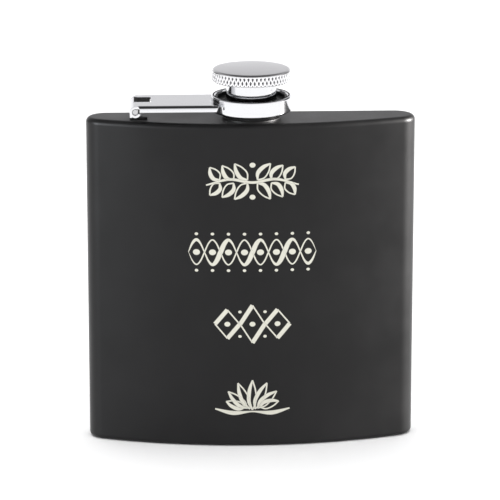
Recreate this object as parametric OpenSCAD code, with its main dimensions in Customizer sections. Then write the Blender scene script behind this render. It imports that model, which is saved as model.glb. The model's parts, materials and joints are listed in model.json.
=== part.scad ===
// Hip flask with a curved pocket-size body and a captive screw cap on a hinged arm.
// Millimetres, Z up. The front face looks along -Y, the hinge is on the left, and the
// origin is on the table plane under the middle of the neck.

/* [Body] */
// Width of the body across its rounded ends
body_w = 93; // [80:1:110]
// Height of the body from the table to its flat top
body_h = 94; // [80:1:120]
// Depth of the body at its middle
body_t = 19; // [17:0.5:24]
// How far the front bulges forward between the ends and the middle
front_bulge = 9.4; // [7:0.1:11]
// Thickness of the sheet steel
sheet = 0.7; // [0.5:0.05:0.9]
// Radius of the rounded edge round the top
top_edge_r = 1.5; // [1.2:0.1:2]
// Radius of the rounded edge round the base
base_edge_r = 1.3; // [1.2:0.1:2]

/* [Neck] */
// Clear diameter that the drink pours through
neck_bore = 9.8; // [9:0.1:10.2]
// Outside diameter of the neck between its threads
neck_d = 10.9; // [10.8:0.1:11.1]
// Diameter over the crests of the neck thread
neck_thread_d = 11.8; // [11.4:0.1:12]
// Height of the neck above the flat top
neck_h = 8.55; // [8:0.05:8.55]
// Pitch of the thread
thread_pitch = 1.5; // [1.4:0.1:1.6]
// Diameter of the weld collar round the foot of the neck
collar_d = 16.4; // [14:0.1:17.6]

/* [Cap] */
// Diameter of the knurled cap head
head_d = 22; // [20:0.2:22]
// Height of the knurled band and its rounded top edge
head_h = 3.4; // [3:0.1:4]
// How far the top of the head domes up
head_dome = 0.35; // [0.2:0.05:0.8]
// Outside diameter of the plain stem under the head
stem_d = 14.1; // [14:0.1:14.3]
// Outside diameter of the foot ring that keeps the cap in the arm's ring
foot_d = 16.6; // [16:0.2:18.4]

/* [Arm] */
// Outside diameter of the ring round the cap
ring_d = 22.5; // [22.5:0.1:23]
// Inside diameter of the ring round the cap
ring_bore = 20; // [19.6:0.1:20.2]
// Height of the ring's lower edge above the flat top
ring_z = 2.1; // [1.9:0.1:2.4]
// Height of the ring itself
ring_h = 4.65; // [4.3:0.05:5]
// Width of the strap from front to back
strap_w = 17; // [15:0.5:17]
// Distance from the middle of the neck to the hinge pin
hinge_x = 32.6; // [31:0.1:34]
// Height of the hinge pin above the flat top
hinge_z = 3.6; // [3.6:0.1:3.8]
// Diameter of the hinge pin
pin_d = 1.6; // [1.4:0.1:1.7]

/* [Hidden] */
$fn = 96;
lacquer = [0.16, 0.16, 0.17];
chrome = [0.80, 0.80, 0.82];
satin = [0.72, 0.72, 0.73];
bare = [0.62, 0.62, 0.63];

// Plan of the body: a front arc, a flat back and two round ends that meet both smoothly.
// half_w is where the ends reach.
half_w = body_w / 2;
back_y = body_t / 2;
front_r = round(50 * (half_w * half_w + front_bulge * front_bulge) / front_bulge) / 100;
front_y = front_r - body_t / 2;
// gap between the front arc and an end of radius r that touches the back
function end_gap(r) = back_y - r - front_y + sqrt(pow(front_r - r, 2) - pow(half_w - r, 2));
// halves the interval n times to find the end radius that touches both
function find_end(lo, hi, n) =
    let (mid = (lo + hi) / 2)
    n == 0 ? mid : end_gap(mid) > 0 ? find_end(mid, hi, n - 1) : find_end(lo, mid, n - 1);
end_r = round(10000 * find_end(0.5, body_t / 2, 40)) / 10000;
end_x = half_w - end_r;
end_y = back_y - end_r;
front_a = atan2(end_x, front_y - end_y);
far = 20;

// Heights above the flat top
top = body_h;
collar_h = 0.6;
foot_z = 0.85;
foot_h = 0.6;
washer_z = 1.5;
washer_h = 0.4;
strap_top = hinge_z + 1.6;
strap_t = 0.7;
flange_bottom = strap_top - 1.7;
lip_h = 0.6;
head_z = 10.8;
ceiling_z = neck_h + 0.85;
bracket_y = 1.5;
bracket_w = 6.8;
knuckle_r = 1.6;
pin_play = 0.05;

module pin_axis(y0, y1, r) {
    translate([-hinge_x, y0, top + hinge_z]) rotate([-90, 0, 0]) cylinder(r = r, h = y1 - y0);
}

// Outline of the body seen from above, moved inwards by inset
module plan(inset) {
    intersection() {
        translate([0, front_y]) circle(r = front_r - inset, $fn = 720);
        polygon([
            [-(front_r + far) * sin(front_a), front_y - (front_r + far) * cos(front_a)],
            [(front_r + far) * sin(front_a), front_y - (front_r + far) * cos(front_a)],
            [end_x, end_y], [end_x, back_y - inset],
            [-end_x, back_y - inset], [-end_x, end_y]]);
    }
    for (s = [-1, 1]) translate([s * end_x, end_y]) circle(r = end_r - inset);
}

// Section of a rolled edge: a quarter turn of sheet and a short flat run inwards.
// drop sets it that much lower and further in.
module rolled_section(r, edge, drop) {
    translate([r - edge, 0]) {
        intersection() {
            difference() {
                circle(r = edge - drop);
                circle(r = edge - drop - sheet);
            }
            square([edge + 1, edge + 1]);
        }
        translate([-0.3, edge - drop - sheet]) square([0.31, sheet]);
    }
}

// Rolled edge all round the body, turned up side up, with its straight end at z = 0.
// The ends sit a hair lower than the front and back and run a degree into both.
module rolled_edge(edge) {
    lap = 1;
    translate([0, front_y, 0]) rotate([0, 0, -90 - front_a])
        rotate_extrude(angle = 2 * front_a, $fn = 720) rolled_section(front_r, edge, 0);
    translate([-end_x, back_y, 0]) rotate([90, 0, 90])
        linear_extrude(2 * end_x) rolled_section(0, edge, 0);
    for (s = [0, 1]) mirror([s, 0, 0])
        translate([end_x, end_y, 0]) rotate([0, 0, -90 + front_a - lap])
            rotate_extrude(angle = 180 - front_a + 2 * lap) rolled_section(end_r, edge, 0.02);
}

// Curved sheet that makes the front, the back and both ends
module side_wall() {
    color(lacquer) translate([0, 0, base_edge_r])
        linear_extrude(body_h - top_edge_r - base_edge_r) difference() {
            plan(0);
            plan(sheet);
        }
}

// Pressed top with a rolled edge and the hole for the neck
module top_plate() {
    color(lacquer) difference() {
        union() {
            translate([0, 0, top - top_edge_r]) rolled_edge(top_edge_r);
            translate([0, 0, top - sheet]) linear_extrude(sheet) plan(top_edge_r + 0.15);
        }
        translate([0, 0, top - 2]) cylinder(d = neck_d, h = 4);
    }
}

// Pressed base with a rolled edge
module base_plate() {
    color(lacquer) {
        translate([0, 0, base_edge_r]) mirror([0, 0, 1]) rolled_edge(base_edge_r);
        linear_extrude(sheet) plan(base_edge_r + 0.15);
    }
}

// Weld collar that stiffens the foot of the neck
module neck_collar() {
    color(lacquer) translate([0, 0, top]) difference() {
        cylinder(d = collar_d, h = collar_h);
        translate([0, 0, -1]) cylinder(d = neck_d, h = collar_h + 2);
    }
}

// Spout with its outside thread, which also reaches a little into the body
module neck_tube() {
    color(bare) translate([0, 0, top]) rotate_extrude() {
        difference() {
            union() {
                translate([0, -2.2]) square([neck_d / 2, 2.2 + neck_h]);
                for (z = [3.4 : thread_pitch : neck_h - 0.7]) translate([0, z]) polygon([
                    [0, -0.55], [neck_d / 2, -0.55], [neck_thread_d / 2, -0.12],
                    [neck_thread_d / 2, 0.12], [neck_d / 2, 0.55], [0, 0.55]]);
            }
            translate([-1, -3]) square([1 + neck_bore / 2, neck_h + 4]);
        }
    }
}

// Leaf welded to the top, with a tongue rolled round the pin
module hinge_bracket() {
    color(lacquer) difference() {
        union() {
            translate([-hinge_x - 1.55, bracket_y - bracket_w / 2, top])
                cube([5, bracket_w, 0.7]);
            translate([-hinge_x - 1.55, bracket_y - bracket_w / 2, top + 0.3])
                cube([0.7, bracket_w, hinge_z - 0.3]);
            pin_axis(bracket_y - bracket_w / 2, bracket_y + bracket_w / 2, 1.55);
            // flat end of the tongue, which fills the arm's window
            translate([-hinge_x + 0.3, bracket_y - bracket_w / 2, top + hinge_z + 0.3])
                cube([3.85, bracket_w, 0.6]);
        }
        pin_axis(-strap_w, strap_w, pin_d / 2);
        translate([-hinge_x - 0.3, bracket_y - bracket_w, top + hinge_z - 1.9])
            cube([0.35, 2 * bracket_w, 1.3]);
    }
}

// Hinge pin, gripped by the bracket, with its ends just inside the strap's knuckles
module hinge_pin() {
    color(bare) pin_axis(0.1 - strap_w / 2, strap_w / 2 - 0.1, pin_d / 2);
}

// Channel section of the strap, seen from its end: y across, z up from the flange edge
module channel(w, h, t, bend) {
    difference() {
        union() {
            translate([-w / 2, 0]) square([w, h - bend]);
            translate([-w / 2 + bend, 0]) square([w - 2 * bend, h]);
            for (s = [-1, 1]) translate([s * (w / 2 - bend), h - bend]) circle(r = bend);
        }
        translate([-w / 2 + t, -1]) square([w - 2 * t, h - t + 1]);
    }
}

// Stamped arm: a channel with its left end rolled into two knuckles round the pin
module arm_strap() {
    bend = 1;
    start = -hinge_x + 1.2;
    color(chrome) difference() {
        union() {
            translate([start, 0, top + flange_bottom]) rotate([90, 0, 90])
                linear_extrude(-10.4 - start)
                    channel(strap_w, strap_top - flange_bottom, strap_t, bend);
            // plain web from the knuckles to the ring
            translate([-hinge_x + 0.3, bend - strap_w / 2, top + strap_top - strap_t])
                cube([hinge_x - 6.3, strap_w - 2 * bend, strap_t]);
            pin_axis(-strap_w / 2, bracket_y - bracket_w / 2 - 0.3, knuckle_r);
            pin_axis(bracket_y + bracket_w / 2 + 0.3, strap_w / 2, knuckle_r);
        }
        // window for the bracket's tongue
        translate([-hinge_x - 3, bracket_y - bracket_w / 2 - 0.3, top + hinge_z - 3])
            cube([7.4, bracket_w + 0.6, 6]);
        // seat against the ring
        translate([0, 0, top]) cylinder(d = ring_d, h = 12);
        pin_axis(-strap_w, strap_w, pin_d / 2 + pin_play);
        // open side of the rolled ends
        translate([-hinge_x + 0.2, -strap_w, top + hinge_z - 1.25])
            cube([2, 2 * strap_w, 0.45]);
    }
}

// Turned ring with round rims
module captive_ring() {
    wall = (ring_d - ring_bore) / 2;
    color(chrome) translate([0, 0, top]) rotate_extrude() {
        translate([ring_bore / 2, ring_z + wall / 2]) square([wall, ring_h - wall]);
        for (z = [ring_z + wall / 2, ring_z + ring_h - wall / 2])
            translate([(ring_bore + wall) / 2, z]) circle(d = wall);
    }
}

// Dark liner pressed into the ring, with an inside lip that the stem runs through
module ring_liner() {
    color([0.08, 0.08, 0.09]) translate([0, 0, top]) rotate_extrude() {
        translate([ring_bore / 2 - 0.5, ring_z + 0.4]) square([0.5, ring_h - 0.9]);
        translate([stem_d / 2 + 0.4, strap_top - lip_h])
            square([ring_bore / 2 - stem_d / 2 - 0.6, lip_h]);
    }
}

// Loose washer that lies between the foot ring and the liner's lip
module slip_washer() {
    color(lacquer) translate([0, 0, top + washer_z]) difference() {
        cylinder(d = foot_d - 0.4, h = washer_h);
        translate([0, 0, -1]) cylinder(d = stem_d + 0.6, h = washer_h + 2);
    }
}

// Cap body: stem with the inside thread, solid crown and the flange that the head grips
module cap_core() {
    color(chrome) translate([0, 0, top]) rotate_extrude() {
        difference() {
            union() {
                translate([0, foot_z]) square([stem_d / 2, head_z + 0.6 - foot_z]);
                translate([0, head_z + 0.4]) square([head_d / 2 - 0.6, 1]);
            }
            translate([-1, -1]) square([1 + stem_d / 2 - 0.4, ceiling_z + 1]);
        }
        for (z = [4.1 : thread_pitch : neck_h - 0.9]) translate([stem_d / 2 - 0.7, z]) polygon([
            [0, -0.1], [0.35, -0.4], [0.35, 0.4], [0, 0.1]]);
    }
}

// Ring swaged onto the lower end of the stem
module foot_ring() {
    color(lacquer) translate([0, 0, top + foot_z]) difference() {
        cylinder(d = foot_d, h = foot_h);
        translate([0, 0, -1]) cylinder(d = stem_d, h = foot_h + 2);
    }
}

// Soft disc that closes the neck
module cap_seal() {
    color([0.9, 0.9, 0.88]) translate([0, 0, top + neck_h + 0.05])
        cylinder(d = stem_d - 1.5, h = ceiling_z - neck_h - 0.05);
}

// Drawn cap head: a shallow cup with a knurled side, a rounded edge and a slightly domed top
module cap_shell() {
    edge = 0.8;
    dome_r = (pow(head_d / 2 - edge, 2) + pow(head_dome, 2)) / (2 * head_dome);
    color(satin) translate([0, 0, top + head_z]) rotate_extrude() {
        difference() {
            union() {
                square([head_d / 2, head_h - edge]);
                square([head_d / 2 - edge, head_h]);
                translate([head_d / 2 - edge, head_h - edge]) circle(r = edge);
                intersection() {
                    translate([0, head_h + head_dome - dome_r]) circle(r = dome_r, $fn = 720);
                    translate([0, head_h - 0.2]) square([head_d / 2 - edge, head_dome + 1]);
                }
            }
            translate([-1, -1]) square([1 + head_d / 2 - 0.6, head_h - 0.7 + 1]);
        }
    }
}

side_wall();
top_plate();
base_plate();
neck_collar();
neck_tube();
hinge_bracket();
hinge_pin();
arm_strap();
captive_ring();
ring_liner();
slip_washer();
cap_core();
foot_ring();
cap_seal();
cap_shell();
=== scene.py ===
"""Hip flask: its visible pieces, finishes and studio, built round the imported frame.

Lengths are metres and angles are radians. The ornament's lines, and names that end in _mm, are
in millimetres.
"""
import json
import math

import bmesh
import bpy
import numpy as np
from bpy.props import FloatProperty, FloatVectorProperty, IntProperty, PointerProperty
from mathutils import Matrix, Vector


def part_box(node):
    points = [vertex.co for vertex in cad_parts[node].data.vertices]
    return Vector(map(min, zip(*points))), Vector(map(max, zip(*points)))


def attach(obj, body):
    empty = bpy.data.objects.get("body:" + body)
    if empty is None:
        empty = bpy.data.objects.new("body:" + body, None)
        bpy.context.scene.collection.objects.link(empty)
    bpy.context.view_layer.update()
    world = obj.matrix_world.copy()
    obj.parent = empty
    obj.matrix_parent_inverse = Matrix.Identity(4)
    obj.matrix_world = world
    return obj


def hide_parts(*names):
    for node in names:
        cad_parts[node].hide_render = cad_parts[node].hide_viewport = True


bl_info = {
    "name": "Hip Flask Builder",
    "version": (1, 0, 0),
    "blender": (4, 5, 0),
    "location": "3D View > Sidebar > Flask",
    "description": "Builds a lacquered hip flask with a knurled captive cap and its studio",
    "category": "Object",
}

MM = 0.001
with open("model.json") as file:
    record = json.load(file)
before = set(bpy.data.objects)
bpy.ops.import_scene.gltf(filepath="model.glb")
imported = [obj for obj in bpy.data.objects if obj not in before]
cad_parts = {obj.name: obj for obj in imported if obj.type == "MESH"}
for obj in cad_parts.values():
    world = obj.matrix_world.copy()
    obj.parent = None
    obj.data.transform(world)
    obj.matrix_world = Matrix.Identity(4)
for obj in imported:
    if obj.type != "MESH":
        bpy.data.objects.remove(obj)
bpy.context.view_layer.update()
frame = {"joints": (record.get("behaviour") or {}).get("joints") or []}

# Places taken from the CAD nodes
wall_low, wall_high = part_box("side_wall")
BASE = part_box("base_plate")[0].z
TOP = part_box("top_plate")[1].z
HALF_W = wall_high.x
FRONT_Y = wall_low.y
BACK_Y = wall_high.y
HINGE = next(j for j in frame["joints"] if j["name"] == "arm_swing")["pos_m"]

# Sizes inside the CAD nodes' boxes
NECK_R = 5.45 * MM  # neck between its threads, and the holes round it
NECK_BORE_R = 4.9 * MM
STEM_R = 7.05 * MM
CAP_BORE_R = 6.65 * MM
HEAD_BORE_R = 10.4 * MM
RING_BORE_R = 10.0 * MM
LINER_BORE_R = 9.5 * MM
LIP_BORE_R = 7.45 * MM
WASHER_BORE_R = 7.35 * MM
CREASE = math.radians(42)  # faces that meet at less than this are shaded as one surface
TINY = 1e-6  # a micron: lengths this near are taken as equal
THIN = 0.5  # width in mm of the finest engraved strokes


# ---------------------------------------------------------------- sizes and colours


def length(name, description, default, low, high):
    """Length in metres that a user can change."""
    return FloatProperty(name=name, description=description, default=default, min=low, max=high,
                         unit="LENGTH")


def tint(name, description, default):
    """Colour that a user can change."""
    return FloatVectorProperty(name=name, description=description, default=default,
                               subtype="COLOR", size=3, min=0, max=1)


class FlaskSizes(bpy.types.PropertyGroup):
    """Sizes that a user would change."""

    front_bulge: length("Front bulge", "How far the front bulges between its middle and the ends",
                        0.0094, 0.007, 0.011)
    sheet: length("Sheet", "Thickness of the steel", 0.0007, 0.0005, 0.0009)
    knurl_count: IntProperty(
        name="Knurl count", description="Diamonds round the cap head", default=58, min=40, max=72)
    knurl_depth: length("Knurl depth", "Depth of the knurl's pits", 0.00036, 0.0001, 0.0004)
    knurl_pitch: length("Knurl height", "Height of one diamond", 0.00226, 0.0015, 0.003)
    thread_pitch: length("Thread pitch", "Rise of the screw thread in one turn", 0.0015, 0.0014,
                         0.0016)
    stroke: length("Stroke width", "Width of the boldest engraved strokes", 0.00145, 0.0008,
                   0.002)


class FlaskFinish(bpy.types.PropertyGroup):
    """Colours and finishes that a user would change."""

    lacquer: tint("Lacquer", "Colour of the powder coat", (0.0055, 0.0053, 0.0056))
    lacquer_roughness: FloatProperty(
        name="Lacquer roughness", description="How matt the powder coat is", default=0.42,
        min=0.2, max=0.9, subtype="FACTOR")
    chrome: tint("Chrome", "Tint of the bright plating", (0.76, 0.765, 0.78))
    satin: tint("Satin steel", "Tint of the cap's brushed top", (0.88, 0.88, 0.895))
    engraved: tint("Engraving", "Colour of the bare metal in the engraving", (0.72, 0.71, 0.62))
    floor: tint("Floor", "Colour of the studio floor", (0.93, 0.93, 0.93))


# ---------------------------------------------------------------- mesh tools


def grid_faces(rows, columns, wrap_rows=False, wrap_columns=False):
    """Quads of a rows x columns grid whose vertex number is row * columns + column."""
    i = np.arange(rows if wrap_rows else rows - 1)
    j = np.arange(columns if wrap_columns else columns - 1)
    i, j = np.meshgrid(i, j, indexing="ij")
    i, j = i.ravel(), j.ravel()
    down, right = (i + 1) % rows, (j + 1) % columns
    return np.stack([i * columns + j, down * columns + j, down * columns + right,
                     i * columns + right], 1)


def new_mesh(points, faces, uv=None):
    """Mesh from an array of points and an (m, 4) array of quads, welded, facing out and smooth
    up to the crease angle. uv holds one (u, v) for each point."""
    points = np.asarray(points, np.float64).reshape(-1, 3)
    faces = np.asarray(faces, np.int32)
    mesh = bpy.data.meshes.new("surface")
    mesh.vertices.add(len(points))
    mesh.vertices.foreach_set("co", points.astype(np.float32).ravel())
    mesh.loops.add(faces.size)
    mesh.loops.foreach_set("vertex_index", faces.ravel())
    mesh.polygons.add(len(faces))
    mesh.polygons.foreach_set("loop_start", np.arange(len(faces), dtype=np.int32) * 4)
    if uv is not None:
        layer = mesh.uv_layers.new(name="stroke")
        layer.data.foreach_set("uv", np.asarray(uv, np.float32)[faces.ravel()].ravel())
    mesh.update(calc_edges=True)
    work = bmesh.new()
    work.from_mesh(mesh)
    bmesh.ops.remove_doubles(work, verts=work.verts, dist=1e-7)
    bmesh.ops.dissolve_degenerate(work, edges=work.edges, dist=1e-8)
    bmesh.ops.recalc_face_normals(work, faces=work.faces)
    work.to_mesh(mesh)
    work.free()
    mesh.polygons.foreach_set("use_smooth", np.ones(len(mesh.polygons), bool))
    mesh.set_sharp_from_angle(angle=CREASE)
    mesh.update()
    return mesh


def add_piece(name, mesh, finish, body, slot, *nodes):
    """Links a mesh as a piece with a finish, given as its maker, that rides on body and stands
    for the CAD nodes."""
    mesh.name = name
    mesh.materials.append(finished(finish))
    piece = bpy.data.objects.new(name, mesh)
    bpy.context.scene.collection.objects.link(piece)
    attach(piece, body)
    if nodes:
        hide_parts(*nodes)
    return piece


def join_parts(parts):
    """Several (points, faces) pairs as one."""
    offsets = np.cumsum([0] + [len(p) for p, _ in parts[:-1]])
    return (np.concatenate([p for p, _ in parts]),
            np.concatenate([f + o for (_, f), o in zip(parts, offsets)]))


def rounded(corners, steps=5, closed=True):
    """Outline through corners (x, y, radius): each corner becomes an arc of that radius that
    touches both of its sides, with one more point on each side to keep the flats flat."""
    support = 1.35  # how far out those points are, as a share of the arc's reach
    pts = np.array([c[:2] for c in corners], float)
    count = len(pts)
    out = []
    for k, (_, _, r) in enumerate(corners):
        if r == 0 or (not closed and k in (0, count - 1)):
            out.append(pts[k][None])
            continue
        a, b = pts[k - 1] - pts[k], pts[(k + 1) % count] - pts[k]
        la, lb = np.linalg.norm(a), np.linalg.norm(b)
        a, b = a / la, b / lb
        half = math.acos(max(-1.0, min(1.0, float(a @ b)))) / 2
        reach = min(r / math.tan(half), 0.49 * la, 0.49 * lb)
        r = reach * math.tan(half)
        centre = pts[k] + (a + b) / np.linalg.norm(a + b) * (r / math.sin(half))
        u, v = pts[k] + a * reach - centre, pts[k] + b * reach - centre
        t = np.linspace(0, 1, steps + 1)[:, None]
        angle = math.pi - 2 * half
        arc = centre + (np.sin((1 - t) * angle) * u + np.sin(t * angle) * v) / math.sin(angle)
        before, after = pts[k] + a * reach * support, pts[k] + b * reach * support
        out += [before[None], arc, after[None]]
    return np.concatenate(out)


def lathe(profile, steps=128, lift=None):
    """Surface of revolution about the vertical. profile holds (radius, height) rows;
    lift(angle, radius, height) is added to the radius."""
    turn = np.linspace(0, 2 * math.pi, steps, endpoint=False)[:, None]
    r, z = profile[None, :, 0], profile[None, :, 1]
    radius = np.broadcast_to(r + (0 if lift is None else lift(turn, r, z)), (steps, len(profile)))
    points = np.stack([radius * np.cos(turn), radius * np.sin(turn),
                       np.broadcast_to(z, radius.shape)], 2)
    closed = bool(profile[0, 0] > TINY)
    return points.reshape(-1, 3), grid_faces(steps, len(profile), True, closed)


def unit_steps(path):
    """Unit direction of travel at each point of a path."""
    along = np.gradient(path, axis=0)
    return along / (np.linalg.norm(along, axis=1)[:, None] + 1e-12)


def sweep(path, normals, side, section, cap):
    """Section (along normal, along side) carried along path, both ends closed: the first and
    last rows shrink to the middle of the section, and cap rounds the ends off."""
    last = len(path) - 1
    stand = np.concatenate([[0, 0], np.arange(last + 1), [last, last]])
    inward, size, shrink = np.zeros(len(stand)), np.ones(len(stand)), np.zeros(len(stand))
    inward[[2, -3]] = cap, -cap
    size[[0, -1]] = 0
    shrink[[1, -2]] = 1
    rows = path[stand] + unit_steps(path)[stand] * inward[:, None]
    scale = 1 - shrink[:, None, None] * (cap / np.abs(section).max(0))[None, None, :]
    body = section[None] * size[:, None, None] * scale
    points = (rows[:, None] + normals[stand][:, None] * body[..., 0:1]
              + np.asarray(side, float)[None, None] * body[..., 1:2])
    return points.reshape(-1, 3), grid_faces(len(rows), len(section), False, True)


def bevelled(piece, width):
    """Rounds the piece's sharp rims and keeps its flats evenly lit."""
    edge = piece.modifiers.new("rounded rims", "BEVEL")
    edge.width, edge.segments, edge.limit_method = width, 2, "ANGLE"
    edge.angle_limit = math.radians(40)
    flat = piece.modifiers.new("even flats", "WEIGHTED_NORMAL")
    flat.weight, flat.keep_sharp = 90, True


# ---------------------------------------------------------------- the body's plan


def plan_numbers(bulge):
    """Radius of the front arc and y of its centre, then radius, x and y of the right end, whose
    circle touches the back line and, from inside, the front arc."""
    front_r = (HALF_W**2 + bulge**2) / (2 * bulge)
    front_c = FRONT_Y + front_r
    low, high = 0.5 * MM, (BACK_Y - FRONT_Y) / 2
    for _ in range(50):
        mid = (low + high) / 2
        gap = BACK_Y - mid - front_c + math.sqrt((front_r - mid) ** 2 - (HALF_W - mid) ** 2)
        low, high = (mid, high) if gap > 0 else (low, mid)
    return front_r, front_c, mid, HALF_W - mid, BACK_Y - mid


def plan_outline(bulge, front=120, end=44, back=60):
    """Points and outward normals round the body's plan, anticlockwise from the left end of
    the front arc: front arc, right end, straight back, left end, with that many steps each."""
    front_r, front_c, end_r, end_x, end_y = plan_numbers(bulge)
    reach = math.atan2(end_x, front_c - end_y)
    quarter = math.pi / 2

    def arc(x, y, radius, start, stop, count):
        turn = np.linspace(start, stop, count, endpoint=False)
        normal = np.stack([np.cos(turn), np.sin(turn)], 1)
        return np.array([x, y]) + radius * normal, normal

    x = np.linspace(end_x, -end_x, back, endpoint=False)
    straight = np.stack([x, np.full(back, BACK_Y)], 1), np.tile([0.0, 1.0], (back, 1))
    parts = [arc(0, front_c, front_r, -quarter - reach, -quarter + reach, front),
             arc(end_x, end_y, end_r, reach - quarter, quarter, end),
             straight,
             arc(-end_x, end_y, end_r, quarter, 3 * quarter - reach, end)]
    return tuple(np.concatenate(rows) for rows in zip(*parts))


def front_surface(x, bulge):
    """Depth y and outward normal of the curved front at x."""
    front_r, front_c = plan_numbers(bulge)[:2]
    y = front_c - np.sqrt(front_r**2 - x**2)
    return y, np.stack([x / front_r, (y - front_c) / front_r, 0 * x], -1)


def wrapped(outline, normals, insets, heights):
    """Grid with one row per outline point: the profile (inset, height) stood on each normal."""
    flat = outline[:, None] - normals[:, None] * insets[None, :, None]
    high = np.broadcast_to(heights[None, :, None], (len(outline), len(heights), 1))
    return np.concatenate([flat, high], 2)


def pressed_plate(sizes, edge, hole, middle_y, face, sign):
    """Pressed end of the body as a closed shell: a flat run from the hole (or the middle) out
    to a quarter turn of radius edge, and back along the inside. face is the outer height, sign
    is 1 where the roll turns down and -1 where it turns up."""
    outline, normals = plan_outline(sizes.front_bulge)
    turn = np.linspace(math.pi / 2, 0, 11)
    share = np.linspace(0, 1, 16)[None, :, None] ** 0.8

    def skin(radius, level):
        roll_in = edge - radius * np.cos(turn)
        roll_z = level - sign * radius * (1 - np.sin(turn))
        rolled = wrapped(outline, normals, roll_in, roll_z)
        start = rolled[:, 0, :2]
        angle = np.arctan2(start[:, 1] - middle_y, start[:, 0])
        ring = np.stack([hole * np.cos(angle), middle_y + hole * np.sin(angle)], 1)
        flat = ring[:, None] * (1 - share) + start[:, None] * share
        flat = np.concatenate([flat, np.full((*flat.shape[:2], 1), level)], 2)
        return np.concatenate([flat[:, :-1], rolled], 1)

    outer = skin(edge, face)
    under = skin(edge - sizes.sheet, face - sign * sizes.sheet)[:, ::-1]
    points = np.concatenate([outer, under], 1)
    return new_mesh(points, grid_faces(*points.shape[:2], True, hole > 0))


# ---------------------------------------------------------------- shared effects


def effect_group(name, results, **inputs):
    """Empty shader node group with a Vector input, an input for each default value and an output
    for each result; gives the group, its inputs' sockets and its outputs' sockets."""
    group = bpy.data.node_groups.new(name, "ShaderNodeTree")
    for label, value in {"Vector": (0, 0, 0), **inputs}.items():
        kind = "NodeSocketVector" if isinstance(value, tuple) else "NodeSocketFloat"
        group.interface.new_socket(label, in_out="INPUT", socket_type=kind).default_value = value
    for label in results:
        group.interface.new_socket(label, in_out="OUTPUT", socket_type="NodeSocketFloat")
    given, out = group.nodes.new("NodeGroupInput"), group.nodes.new("NodeGroupOutput")
    return group, given.outputs, out.inputs


def feed(tree, socket, value):
    """Links a socket, or sets a fixed value, into an input."""
    if isinstance(value, bpy.types.NodeSocket):
        tree.links.new(value, socket)
    else:
        socket.default_value = value


def math_node(tree, operation, *values, clamp=False):
    """Math node whose inputs are sockets or numbers; gives its output socket."""
    node = tree.nodes.new("ShaderNodeMath")
    node.operation, node.use_clamp = operation, clamp
    for socket, value in zip(node.inputs, values):
        feed(tree, socket, value)
    return node.outputs[0]


def vector_node(tree, operation, *values):
    """Vector Math node whose inputs are sockets or vectors; gives its output sockets."""
    node = tree.nodes.new("ShaderNodeVectorMath")
    node.operation = operation
    for socket, value in zip(node.inputs, values):
        feed(tree, socket, value)
    return node.outputs


def split_xyz(tree, vector):
    """Separate XYZ node; gives its three output sockets."""
    node = tree.nodes.new("ShaderNodeSeparateXYZ")
    tree.links.new(vector, node.inputs[0])
    return node.outputs


def noise(tree, vector, scale, detail, roughness):
    """Noise texture on a vector socket; gives its value socket."""
    node = tree.nodes.new("ShaderNodeTexNoise")
    tree.links.new(vector, node.inputs["Vector"])
    feed(tree, node.inputs["Scale"], scale)
    node.inputs["Detail"].default_value = detail
    node.inputs["Roughness"].default_value = roughness
    return node.outputs[0]


def spread(tree, value, low, high, to_low, to_high):
    """Map Range node, clamped; gives its output socket."""
    node = tree.nodes.new("ShaderNodeMapRange")
    for socket, given in zip(node.inputs, (value, low, high, to_low, to_high)):
        feed(tree, socket, given)
    return node.outputs[0]


def make_smudges():
    """Faint handling marks: a slow pattern that moves roughness about its middle value."""
    group, given, out = effect_group("smudges", ("Roughness", "Mask"), Roughness=0.3,
                                     Amount=0.05, Size=120.0)
    value = noise(group, given["Vector"], given["Size"], 5.0, 0.6)
    mask = spread(group, value, 0.35, 0.68, 0.0, 1.0)
    centred = math_node(group, "SUBTRACT", mask, 0.5)
    shift = math_node(group, "MULTIPLY", centred, given["Amount"])
    total = math_node(group, "ADD", shift, given["Roughness"], clamp=True)
    group.links.new(total, out["Roughness"])
    group.links.new(mask, out["Mask"])
    return group


def make_grain():
    """Fine grain of a powder coat or a moulding: two sizes of noise as a height."""
    group, given, out = effect_group("fine_grain", ("Height",), Size=3000.0)
    coarse = noise(group, given["Vector"], given["Size"], 3.0, 0.55)
    double = math_node(group, "MULTIPLY", given["Size"], 2.7)
    fine = noise(group, given["Vector"], double, 1.0, 0.5)
    both = math_node(group, "ADD", coarse, math_node(group, "MULTIPLY", fine, 0.5))
    group.links.new(both, out["Height"])
    return group


def make_brushing():
    """Brush lines: noise stretched along one direction by the Stretch input."""
    group, given, out = effect_group("brush_lines", ("Lines", "Height"),
                                     Stretch=(60.0, 3000.0, 60.0))
    place = vector_node(group, "MULTIPLY", given["Vector"], given["Stretch"])[0]
    value = noise(group, place, 1.0, 4.0, 0.65)
    group.links.new(spread(group, value, 0.3, 0.7, 0.0, 1.0), out["Lines"])
    group.links.new(value, out["Height"])
    return group


def effects():
    """The shared groups, built once."""
    makers = {"smudges": make_smudges, "fine_grain": make_grain, "brush_lines": make_brushing}
    return {name: bpy.data.node_groups.get(name) or make() for name, make in makers.items()}


def use_effect(tree, name, vector, **values):
    """Places a shared group in a material's tree with its own values; gives its outputs."""
    node = tree.nodes.new("ShaderNodeGroup")
    node.node_tree = effects()[name]
    tree.links.new(vector, node.inputs["Vector"])
    for label, value in values.items():
        node.inputs[label].default_value = value
    return node.outputs


def new_material(name, color, **shader_values):
    """Material with its Principled BSDF; gives (material, tree, shader, object coordinates)."""
    material = bpy.data.materials.new(name)
    material.use_nodes = True
    tree = material.node_tree
    shader = tree.nodes["Principled BSDF"]
    shader.inputs["Base Color"].default_value = (*color, 1)
    for label, value in shader_values.items():
        shader.inputs[label.replace("_", " ")].default_value = value
    place = tree.nodes.new("ShaderNodeTexCoord")
    return material, tree, shader, place.outputs["Object"]


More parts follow.
